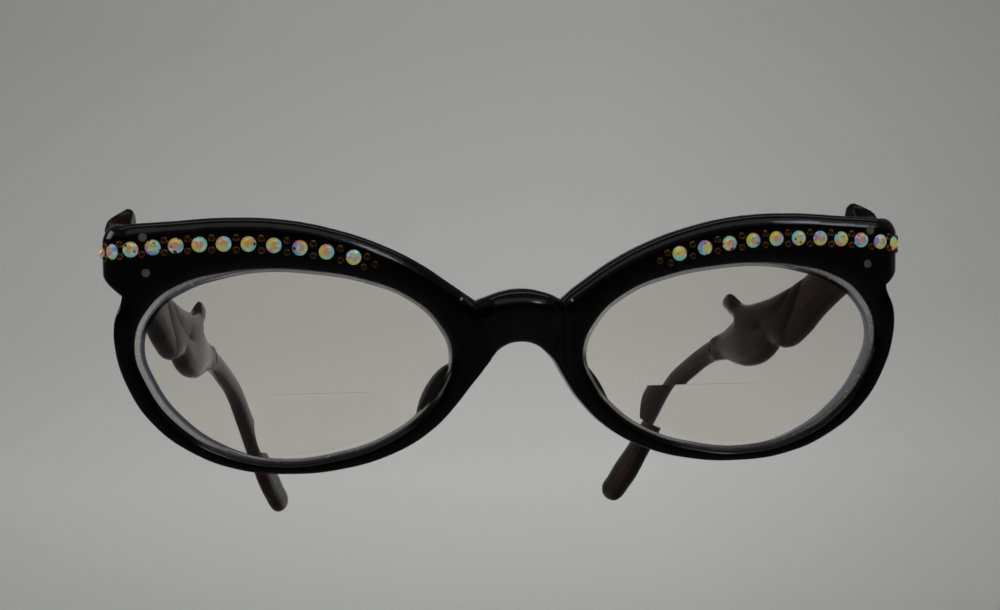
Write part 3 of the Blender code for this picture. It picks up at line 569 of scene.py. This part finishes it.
def build_front():
    other_half = [(-across, up, corner) for across, up, corner in FRONT_HALF[-2:0:-1]]
    outline = turned(smooth_outline([*FRONT_HALF, *other_half], FINE), True)
    openings = [opening_loop(side, FINE, False) for side in SIDES.values()]
    rings = []
    for loop in (outline, *openings):
        rings += rings_of(loop, edge_rings(FRONT_ROUND))
    pits = []
    for side in SIDES.values():
        for _number, across, up in stone_places():
            pits.append(circle(side * across, up, STONE_RADIUS + 0.03))
        for across, up in FRONT_RIVETS:
            pits.append(circle(side * across, up, RIVET_PIT, 20))
    grid = hex_points((-71.0, -26.5), (71.0, 15.0), FINE)
    grid = grid[inside(grid, outline)]
    for loop in openings:
        grid = grid[~inside(grid, loop)]
    for loop in (outline, *openings):
        grid = grid[nearest(grid, loop)[0] > FRONT_ROUND + 0.5 * FINE]
    steps = np.arange(-7.2, 1.2, 0.35)
    crease = np.stack([CREASE_AT + (steps - CREASE_UP) * CREASE_SLOPE, steps], 1)
    crease = np.concatenate([crease, crease * (-1, 1)])
    crease = crease[nearest(crease, outline)[0] > 0.9]
    grid = grid[np.min([np.hypot(*(grid - spot).T) for spot in crease], 0) > 0.35 * FINE]
    grid = np.concatenate([grid, crease])
    for pit in pits:
        middle = pit.mean(0)
        radius = np.hypot(*(pit[0] - middle))
        grid = grid[np.hypot(*(grid - middle).T) > radius + 0.4 * FINE]
        grid = np.concatenate([grid, middle[None] + (pit - middle) * 1.18])
    verts, tris = triangulate(grid, rings + pits)
    middles = verts[tris].mean(1)
    keep = inside(middles, outline)
    for loop in openings:
        keep &= ~inside(middles, loop)
    tris = tris[keep]
    front, edge = front_sculpt(verts, outline, openings)
    body, faces = solid(verts, tris, front, THICK - edge, pits)
    obj = mesh_piece("frame_front_acetate", bend_front(body), faces, [BLACK], "front",
                     ["frame_front"], 32)
    recess = bmesh.new()
    low, high = np.array(HINGE_RECESS)
    for side in SIDES.values():
        size = (high - low) / 1000
        middle = ((high + low) / 2 * (side, 1, 1) + SHIFT) / 1000
        place = Matrix.Translation(middle) @ Matrix.Diagonal((*size, 1.0))
        bmesh.ops.create_cube(recess, size=1.0, matrix=place)
    cut_away(obj, recess)


def cut_away(obj, bm):
    """Cut a bmesh out of a piece, and keep the result as the piece's own mesh."""
    mesh = bpy.data.meshes.new("cutter")
    bm.to_mesh(mesh)
    bm.free()
    cutter = bpy.data.objects.new("cutter", mesh)
    bpy.context.scene.collection.objects.link(cutter)
    modifier = obj.modifiers.new("cut", "BOOLEAN")
    modifier.operation = "DIFFERENCE"
    modifier.object = cutter
    modifier.solver = "EXACT"
    result = evaluated_mesh(obj)
    obj.modifiers.clear()
    obj.data = result
    bpy.data.objects.remove(cutter)


# ---------------------------------------------------------------------- lenses
def lens_sag(points, side):
    """Depth of the lens's bulge: its middle stands forward of its edge."""
    x = (points[:, 0] * side - LENS_MIDDLE[0]) / LENS_HALF[0]
    y = (points[:, 1] - LENS_MIDDLE[1]) / LENS_HALF[1]
    return LENS_BULGE * (x * x + y * y - 1.0)


def edge_widths(points):
    """Where the ground edge and the dark-tinted band behind it end, inwards from the rim; that
    band is painted shade.
    """
    outward = smoothstep(38.0, 57.0, np.abs(points[:, 0]))
    ground = 0.45 + 0.55 * outward
    return ground, ground + 0.07 + 0.45 * outward


def build_lens(name, side):
    loop = opening_loop(side, 0.6, True)
    normals = left_normals(loop)
    ground, shade_band_end = edge_widths(loop)
    steps = (np.full(len(loop), -0.12), 0.5 * ground, ground, (ground + shade_band_end) / 2, shade_band_end,
             shade_band_end + 0.25)
    rings = [loop + normals * step[:, None] for step in steps]
    grid = hex_points(loop.min(0), loop.max(0), 1.1)
    grid = grid[inside(grid, loop)]
    grid = grid[nearest(grid, loop)[0] > edge_widths(grid)[1] + 0.7]
    verts, tris = triangulate(grid, rings)
    middles = verts[tris].mean(1)
    tris = tris[inside(middles, rings[0])]
    distance = nearest(verts, loop)[0] * np.where(inside(verts, loop), 1.0, -1.0)
    bevel = 0.4 * np.clip(1.0 - distance / edge_widths(verts)[0], 0.0, 1.2)
    start = (THICK - LENS_THICK) / 2
    sag = lens_sag(verts, side)
    back = start + LENS_THICK + sag - 0.6 * bevel
    body, faces = solid(verts, tris, start + sag + bevel, back)
    distance = np.concatenate([distance, distance])
    zones = np.array([np.mean(distance[list(face)]) for face in faces])
    ground, shade_band_end = edge_widths(np.array([body[list(face), :2].mean(0) for face in faces]))
    # material 2, the dark-tinted band, is painted shade
    indices = np.where(zones < ground - 0.02, 1, np.where(zones < shade_band_end + 0.02, 2, 0))
    mesh_piece("lens_glass_" + name, bend_front(body), faces, [LENS, GROUND, EDGE_SHADE_GLASS], "front",
               ["lens_" + name], 20, indices)


def build_segment(name, side):
    """The flat-top reading segment, trimmed where it would reach the rim."""
    limit = rings_of(opening_loop(side, 0.6, True), (1.35,))[0]
    centre = np.array([side * SEGMENT_CENTRE[0], SEGMENT_CENTRE[1]])
    disc = circle(*centre, SEGMENT_RADIUS, 160)
    half = math.sqrt(SEGMENT_RADIUS ** 2 - (SEGMENT_TOP - centre[1]) ** 2)
    across = np.linspace(centre[0] - half, centre[0] + half, 60)
    top = np.stack([across, np.full(60, SEGMENT_TOP)], 1)
    disc = disc[disc[:, 1] < SEGMENT_TOP - 0.05]
    turn = np.arctan2(disc[:, 1] - centre[1], disc[:, 0] - centre[0])
    order = np.argsort((turn - math.pi / 2) % (2 * math.pi))
    shape = np.concatenate([top[::-1], disc[order]])
    grid = hex_points(shape.min(0), shape.max(0), 0.7)
    grid = grid[inside(grid, shape) & inside(grid, limit)]
    grid = grid[(nearest(grid, shape)[0] > 0.25) & (nearest(grid, limit)[0] > 0.25)]
    verts, tris = triangulate(grid, [shape, limit])
    middles = verts[tris].mean(1)
    tris = tris[inside(middles, shape) & inside(middles, limit)]
    used = np.unique(tris)
    index = np.zeros(len(verts), int)
    index[used] = np.arange(len(used))
    verts, tris = verts[used], index[tris]
    away = np.hypot(*(verts - centre).T)
    thick = 0.45 - 0.4 * (away / SEGMENT_RADIUS) ** 2
    start = (THICK - LENS_THICK) / 2 + lens_sag(verts, side) - 0.02
    body, faces = solid(verts, tris, start - thick, start)
    flat_top = [bool(min(body[list(face), 1]) > SEGMENT_TOP - 0.01) for face in faces]
    mesh_piece("reading_segment_glass_" + name, bend_front(body), faces, [SEGMENT, LINE],
               "front", ["reading_segment_" + name], 25, flat_top)


# ------------------------------------------------------------------- nose pads
def build_pad(name, side):
    """Half an egg, let into the back of the front."""
    bm = bmesh.new()
    bmesh.ops.create_uvsphere(bm, u_segments=48, v_segments=32, radius=1.0)
    shape = Matrix.Diagonal((*PAD_HALF, 1.0))
    turn = Matrix.Rotation(side * PAD_TURN, 4, "Z")
    flare = Matrix.Rotation(side * PAD_FLARE, 4, "Y")
    place = Matrix.Translation((side * PAD_AT[0], PAD_AT[1], THICK - 0.5))
    bmesh.ops.transform(bm, matrix=place @ turn @ flare @ shape, verts=bm.verts)
    cut = bmesh.ops.bisect_plane(
        bm, geom=bm.verts[:] + bm.edges[:] + bm.faces[:],
        plane_co=(0.0, 0.0, THICK - 0.05), plane_no=(0.0, 0.0, -1.0), clear_outer=True)
    rim = [edge for edge in cut["geom_cut"] if isinstance(edge, bmesh.types.BMEdge)]
    bmesh.ops.holes_fill(bm, edges=rim)
    verts = np.array([vertex.co[:] for vertex in bm.verts])
    bm.verts.index_update()
    faces = [[vertex.index for vertex in face.verts] for face in bm.faces]
    bm.free()
    mesh_piece("nose_pad_acetate_" + name, bend_front(verts), faces, [PAD], "front",
               ["nose_pad_" + name], 40)


# ---------------------------------------------------------- rhinestones and beads
def stone_geometry():
    """Crown, girdle and pavilion of a round-cut chaton: vertices, faces, kinds."""
    verts, faces, kinds = [], [], []
    eighth = math.pi / 4

    def ring(radius, height, count, turn=0.0):
        first = len(verts)
        for step in range(count):
            angle = turn + step * 2 * math.pi / count
            verts.append((radius * math.cos(angle), radius * math.sin(angle), height))
        return [first + step for step in range(count)]

    table = ring(0.54 * STONE_RADIUS, 0.7, 8)
    stars = ring(0.8 * STONE_RADIUS, 0.42, 8, eighth / 2)
    girdle = ring(STONE_RADIUS, 0.0, 16)
    under = ring(STONE_RADIUS, -0.14, 16)
    verts.append((0.0, 0.0, 0.72))
    verts.append((0.0, 0.0, -0.85))
    for k in range(8):
        after, before = (k + 1) % 8, (k - 1) % 8
        angle = k * eighth
        faces.append([table[k], table[after], len(verts) - 2])
        kinds.append(("table", angle + eighth / 2))
        faces.append([table[k], stars[before], girdle[2 * k], stars[k]])
        kinds.append(("crown", angle))
        faces.append([table[k], stars[k], table[after]])
        kinds.append(("crown", angle + eighth / 2))
        faces.append([stars[k], girdle[2 * k], girdle[2 * k + 1]])
        kinds.append(("crown", angle + eighth / 4))
        faces.append([stars[k], girdle[2 * k + 1], girdle[(2 * k + 2) % 16]])
        kinds.append(("crown", angle + 3 * eighth / 4))
    for k in range(16):
        after = (k + 1) % 16
        faces.append([girdle[k], girdle[after], under[after], under[k]])
        kinds.append(("girdle", 0.0))
        faces.append([under[k], under[after], len(verts) - 1])
        kinds.append(("girdle", 0.0))
    return np.array(verts), faces, kinds


SECTORS = (
    ("cyan", "sky", "gold", "gold", "pink", "mint"),
    ("mint", "cyan", "sky", "violet", "gold", "gold"),
    ("sky", "cyan", "mint", "gold", "pink", "violet"),
    ("gold", "mint", "cyan", "cyan", "pink", "gold"),
    ("pink", "violet", "cyan", "mint", "mint", "gold"),
)


def stone_colours(kinds, chance):
    """Broad aurora sectors round the crown, opposite ones in the table, a dark girdle and pavilion
    as painted shade, and a few odd facets: white ones painted sparkle, dark ones painted dark
    reflections.
    """
    around = chance.choice(SECTORS)
    start = chance.random() * 6
    heart = chance.choice(("pink", "pink", "gold", "orange"))
    colours = []
    for kind, angle in kinds:
        place = angle / (2 * math.pi) * 6 + start
        # painted shade: the girdle and pavilion are dark, down in their pit
        if kind == "girdle":
            colour = "dark"
        elif kind == "table":
            colour = heart if chance.random() < 0.6 else around[int(place + 3) % 6]
        # painted light: a few crown facets get a white sparkle, a few a dark reflection
        elif chance.random() < 0.14:
            colour = "white" if chance.random() < 0.85 else "dark"
        else:
            colour = around[int(place + chance.uniform(-0.4, 0.4)) % 6]
        colours.append(colour)
    return colours


def build_stones():
    verts, faces, kinds = stone_geometry()
    names = list(CRYSTALS)
    for side_name, side in SIDES.items():
        for number, across, up in stone_places():
            chance = random.Random(f"{side_name}{number}")
            turn = chance.random() * math.pi / 4
            indices = [names.index(colour) for colour in stone_colours(kinds, chance)]
            sunk = Matrix.Translation((0.0, 0.0, -STONE_SINK / 1000))
            seat = sunk @ Matrix.Rotation(turn, 4, "Z")
            matrix = surface_matrix(side, across, up) @ seat
            spots = [(matrix @ (Vector(vert) / 1000)) * 1000 for vert in verts]
            node = f"rhinestone_{side_name}_{number:02d}"
            mesh_piece("crystal_" + node, spots, faces, list(CRYSTALS.values()), "front",
                       [node], 5, indices)


def bead_places():
    """A trio before the first stone, then two beads between each stone and the next."""
    places = [across for _number, across, _up in stone_places()]
    first = places[0]
    beads = [(first - 2.05, row_height(first) + 0.1), (first - 1.55, row_height(first) - 1.5),
             (first - 3.3, row_height(first) - 1.15)]
    for number, (here, after) in enumerate(zip(places, places[1:]), 1):
        middle = (here + after) / 2
        beads.append((middle, row_height(middle) - BEAD_OFF_ROW))
        if number != BEADLESS_GAP:
            beads.append((middle, row_height(middle) + BEAD_OFF_ROW))
    return beads


def build_beads(name, side):
    """Small turned brass cups with a point in the middle, one row on each brow."""
    profile = [(0.57, -0.12), (0.57, 0.1), (0.53, 0.22), (0.46, 0.3), (0.38, 0.32), (0.3, 0.28),
               (0.24, 0.16), (0.2, 0.06), (0.14, 0.1), (0.07, 0.16)]
    count = 20
    verts, faces = [], []
    for across, up in bead_places():
        matrix = surface_matrix(side, across, up)
        base = len(verts)
        for radius, height in profile:
            for step in range(count):
                angle = step * 2 * math.pi / count
                spot = Vector((radius * math.cos(angle), radius * math.sin(angle), height))
                verts.append((matrix @ (spot / 1000)) * 1000)
        verts.append((matrix @ Vector((0.0, 0.0, 0.00018))) * 1000)
        verts.append((matrix @ Vector((0.0, 0.0, -0.00012))) * 1000)
        for row in range(len(profile) - 1):
            for step in range(count):
                after = (step + 1) % count
                a, b = base + row * count, base + (row + 1) * count
                faces.append((a + step, a + after, b + after, b + step))
        last = base + (len(profile) - 1) * count
        for step in range(count):
            after = (step + 1) % count
            faces.append((last + step, last + after, base + len(profile) * count))
            faces.append((base + after, base + step, base + len(profile) * count + 1))
    mesh_piece("brass_beads_" + name, verts, faces, [BRASS], "front", (), 50)


# --------------------------------------------------------------------- temples
def bend_temple(points, name):
    """Side view (back, up, depth from the outer face) to the temple at rest, in mm."""
    side = SIDES[name]
    back, up, depth = np.asarray(points, float).T
    thin = smoothstep(62.0, 84.0, back)
    depth = depth * (1.0 + (TEMPLE_THIN / TEMPLE_THICK - 1.0) * thin)
    depth = depth + TIP_CURVE * (np.maximum(0.0, back - TIP_CURVE_FROM) / TIP_CURVE_SPAN) ** 2
    x, y = TEMPLE_OUTER - depth - HINGE[0], back - HINGE[1]
    cos, sin = math.cos(FOLD[name]), math.sin(FOLD[name])
    turned_x, turned_y = HINGE[0] + x * cos - y * sin, HINGE[1] + x * sin + y * cos
    return np.stack([side * turned_x, turned_y, up], 1) + SHIFT


def feather_step(points, line):
    """A sharp step along a carved line that eases back to the surface behind it."""
    line = np.array(line)
    distance, index = nearest(points, line, False)
    along = line[index + 1] - line[index]
    across = points - line[index]
    behind = along[:, 0] * across[:, 1] - along[:, 1] * across[:, 0] > 0
    eased, sharp = np.exp(-distance / 1.6), np.clip(1.0 - distance / 0.3, 0.0, 1.0)
    return FEATHER_DEPTH * np.where(behind, eased, sharp)


def temple_sculpt(points, outline):
    """Depths of a temple's carved outer and inner faces."""
    distance = nearest(points, outline)[0]
    back, up = points.T
    wing = smoothstep(14.0, 24.0, back) * (1.0 - smoothstep(76.0, SEAM_AT, back))
    bevel = wing * 0.9 * np.clip(1.0 - distance / 3.0, 0.0, 1.0) ** 1.8
    share = np.clip(1.0 - distance / 2.45, 0.0, 1.0)
    arm = 1.35 * (1.0 - np.sqrt(1.0 - 0.96 * share ** 2))
    arm = arm * smoothstep(SEAM_AT, SEAM_AT + 1.5, back)
    feathers = sum(feather_step(points, line) for line in FEATHERS)
    seam = 0.3 * np.clip(1.0 - np.abs(back - SEAM_AT) / 0.4, 0.0, 1.0)
    carved = bevel + arm + feathers + seam + round_edge(distance, TEMPLE_ROUND)
    fin = FIN_BEVEL_SLOPE * ramp(up - FIN_BEVEL_FROM + 0.15, 0.5)
    inner = np.minimum(carved, 0.45 * TEMPLE_THICK)
    outer = np.minimum(np.maximum(inner, fin), TEMPLE_THICK - inner - 0.1)
    thinning = np.clip((up - REAR_FIN_LOW) / REAR_FIN_RISE, 0.0, 1.0)
    left = 1.0 - (1.0 - REAR_FIN_SHARE) * thinning * smoothstep(63.0, 68.0, back)
    middle = TEMPLE_THICK / 2
    return middle + (outer - middle) * left, middle + (TEMPLE_THICK - inner - middle) * left


def feather_points(line):
    """Rows of points beside a carved line, so that its edge stays crisp."""
    line = np.array(line)
    along = np.concatenate([np.linspace(a, b, 16)[:-1] for a, b in zip(line, line[1:])])
    bend = np.gradient(along, axis=0)
    bend = np.stack([-bend[:, 1], bend[:, 0]], 1) / np.hypot(*bend.T)[:, None]
    return [along + bend * step for step in (-0.3, -0.02, 0.02, 0.3, 0.6)]


def build_temple(name):
    outline = turned(smooth_outline(list(TEMPLE_SIDE), FINE), True)
    rings = rings_of(outline, edge_rings(TEMPLE_ROUND))
    pits = [circle(back, HINGE[2], RIVET_PIT, 20) for back in TEMPLE_RIVETS]
    grid = hex_points(outline.min(0), outline.max(0), FINE)
    grid = grid[inside(grid, outline)]
    grid = grid[nearest(grid, outline)[0] > TEMPLE_ROUND + 0.5 * FINE]
    rows = np.linspace(20.0, 32.0, 60)
    extra = [np.stack([np.full(60, SEAM_AT + step), rows], 1) for step in (-0.4, 0.0, 0.4)]
    for line in FEATHERS:
        extra += feather_points(line)
    extra = np.concatenate(extra)
    extra = extra[inside(extra, outline)]
    extra = extra[nearest(extra, outline)[0] > 1.1]
    grid = grid[np.min([np.hypot(*(grid - spot).T) for spot in extra], 0) > 0.4 * FINE]
    grid = np.concatenate([grid, extra])
    for pit in pits:
        middle = pit.mean(0)
        grid = grid[np.hypot(*(grid - middle).T) > RIVET_PIT + 0.4 * FINE]
    verts, tris = triangulate(grid, rings + pits)
    tris = tris[inside(verts[tris].mean(1), outline)]
    outer, inner = temple_sculpt(verts, outline)
    body, faces = solid(verts, tris, outer, inner, pits, 0.5)
    mesh_piece("temple_acetate_" + name, bend_temple(body, name), faces, [BROWN],
               "temple_" + name, ["temple_" + name], 32)


# --------------------------------------------------------- stage, lights, camera
STAGE_DROP = 0.05                     # metres from the part down to the paper
STAGE_FLAT, STAGE_BEND = 1.05, 0.25   # radius of the flat floor, and of its upward bend
STAGE_TOP = (0.5, 0.75)
# painted shade: the paper is made darker towards the front, at both sides, up the wall and on the
# floor, as if the light fell off there; axis, shade at the start and end, start and end in metres
PAINTED_STAGE_SHADE = (
    ("Y", 0.16, 1.0, -0.45, 0.1), ("X", 0.3, 1.0, -0.75, -0.25), ("Z", 1.0, 0.72, 0.12, 0.5),
    ("X", 1.0, 0.82, 0.35, 0.7), ("Z", 0.86, 1.0, 0.0, 0.12),
)
# name, place, aim, size, power, colour, spread in degrees
LIGHTS = (
    ("backdrop", (0.2, 0.35, 0.8), (0.2, 1.3, -0.03), (0.5, 0.3), 2.95, (1.0, 0.995, 0.98), 120),
    ("overhead_strip", (0.0, 0.04, 1.0), (0.0, -0.05, 0.0), (1.3, 0.14), 0.5,
     (0.97, 0.98, 1.0), 180),
    ("front_soft", (0.0, -0.8, 0.95), (0.0, -0.05, 0.03), (1.5, 0.4), 0.8, (0.95, 0.97, 1.0), 180),
    ("room", (0.2, -1.6, 0.5), (0.0, -0.05, 0.03), (1.4, 0.5), 1.6, (1.0, 0.98, 0.95), 180),
    ("window", (0.5, -0.9, 0.75), (0.0, -0.05, 0.03), (0.14, 0.2), 0.5, (0.85, 0.92, 1.0), 180),
    ("left_fill", (-1.0, 0.3, 0.6), (0.0, 0.0, 0.02), (0.5, 0.4), 1.2, (1.0, 0.98, 0.95), 180),
)
ROOM_COLOUR, ROOM_STRENGTH = (0.5, 0.51, 0.52, 1.0), 0.14
CAMERA_AT = (-61.7, -305.2, -18.4)    # mm from the middle of the bridge, at ground level
CAMERA_ANGLES = (10.86, 7.96, -2.46)  # azimuth, elevation and roll, in degrees
CAMERA_LENS, CAMERA_SENSOR = 72.0, 36.0


def build_stage():
    """A disc of paper whose rim bends upwards into a low round wall."""
    mat, nodes, links, shader = node_material("stage_paper", (0.6, 0.6, 0.585), 0.75)
    coordinates = nodes.new("ShaderNodeTexCoord")
    split = nodes.new("ShaderNodeSeparateXYZ")
    links.new(coordinates.outputs["Object"], split.inputs["Vector"])
    # painted shade: the paper's colour is multiplied down band by band
    parts = [mapped(nodes, links, split.outputs[axis], *band) for axis, *band in PAINTED_STAGE_SHADE]
    shade = parts[0]
    for part in parts[1:]:
        shade = multiplied(nodes, links, shade, part)
    stops = [(0.0, (0.0, 0.0, 0.0)), (1.0, (0.62, 0.625, 0.61))]
    links.new(colour_ramp(nodes, links, shade, stops), shader.inputs["Base Color"])
    bumped(nodes, links, shader, noise(nodes, links, 60.0, 4.0), 0.04, 0.0005)
    profile = [(0.0, 0.0), (0.35, 0.0), (STAGE_FLAT, 0.0)]
    for step in range(1, 25):
        angle = step / 24 * math.pi / 2
        profile.append((STAGE_FLAT + STAGE_BEND * math.sin(angle),
                        STAGE_BEND * (1.0 - math.cos(angle))))
    profile += [(STAGE_FLAT + STAGE_BEND, height) for height in STAGE_TOP]
    count = 96
    verts = [(0.0, 0.0, 0.0)]
    for radius, height in profile[1:]:
        for step in range(count):
            angle = step * 2 * math.pi / count
            verts.append((radius * math.sin(angle), radius * math.cos(angle), height))
    faces = [(0, 1 + (step + 1) % count, 1 + step) for step in range(count)]
    for row in range(len(profile) - 2):
        a, b = 1 + row * count, 1 + (row + 1) * count
        for step in range(count):
            after = (step + 1) % count
            faces.append((a + step, a + after, b + after, b + step))
    mesh = bpy.data.meshes.new("stage")
    mesh.from_pydata(verts, [], faces)
    mesh.materials.append(mat)
    mesh.shade_smooth()
    obj = bpy.data.objects.new("stage", mesh)
    obj.location = (0.0, 0.0, -STAGE_DROP)
    bpy.context.scene.collection.objects.link(obj)


def area_light(name, place, aim, size, power, colour, spread):
    light = bpy.data.lights.new(name, "AREA")
    light.shape = "RECTANGLE"
    light.size, light.size_y = size
    light.energy = power
    light.color = colour
    light.spread = math.radians(spread)
    obj = bpy.data.objects.new(name, light)
    obj.location = place
    obj.rotation_mode = "QUATERNION"
    obj.rotation_quaternion = (Vector(aim) - Vector(place)).to_track_quat("-Z", "Y")
    bpy.context.scene.collection.objects.link(obj)


def build_lights():
    for light in LIGHTS:
        area_light(*light)
    world = bpy.data.worlds.new("room")
    world.use_nodes = True
    background = world.node_tree.nodes["Background"]
    background.inputs["Color"].default_value = ROOM_COLOUR
    background.inputs["Strength"].default_value = ROOM_STRENGTH
    bpy.context.scene.world = world


def build_camera():
    azimuth, elevation, roll = (math.radians(angle) for angle in CAMERA_ANGLES)
    place = Vector(CAMERA_AT) / 1000 + Vector(SHIFT) / 1000
    flat = math.cos(elevation)
    forward = Vector((math.sin(azimuth) * flat, math.cos(azimuth) * flat, math.sin(elevation)))
    level = Vector((math.cos(azimuth), -math.sin(azimuth), 0.0))
    rise = level.cross(forward)
    right = level * math.cos(roll) + rise * math.sin(roll)
    above = rise * math.cos(roll) - level * math.sin(roll)
    data = bpy.data.cameras.new("camera")
    data.lens, data.sensor_width = CAMERA_LENS, CAMERA_SENSOR
    data.clip_start, data.clip_end = 0.01, 20.0
    camera = bpy.data.objects.new("camera", data)
    matrix = Matrix((right, above, -forward)).transposed().to_4x4()
    matrix.translation = place
    camera.matrix_world = matrix
    bpy.context.scene.collection.objects.link(camera)
    bpy.context.scene.camera = camera


def carry_over():
    """The hinges, screws, rivets and core wires are the CAD's own meshes."""
    for name, node in frame["nodes"].items():
        if node.hide_render:
            continue
        mat = STEEL if "core_wire" in name else RIVET if "rivet" in name else NICKEL
        node.data.materials.clear()
        node.data.materials.append(mat)


build_front()
for side_name, side_sign in SIDES.items():
    build_lens(side_name, side_sign)
    build_segment(side_name, side_sign)
    build_pad(side_name, side_sign)
    build_beads(side_name, side_sign)
    build_temple(side_name)
build_stones()
carry_over()
build_stage()
build_lights()
build_camera()
bpy.context.scene.view_settings.view_transform = "Standard"
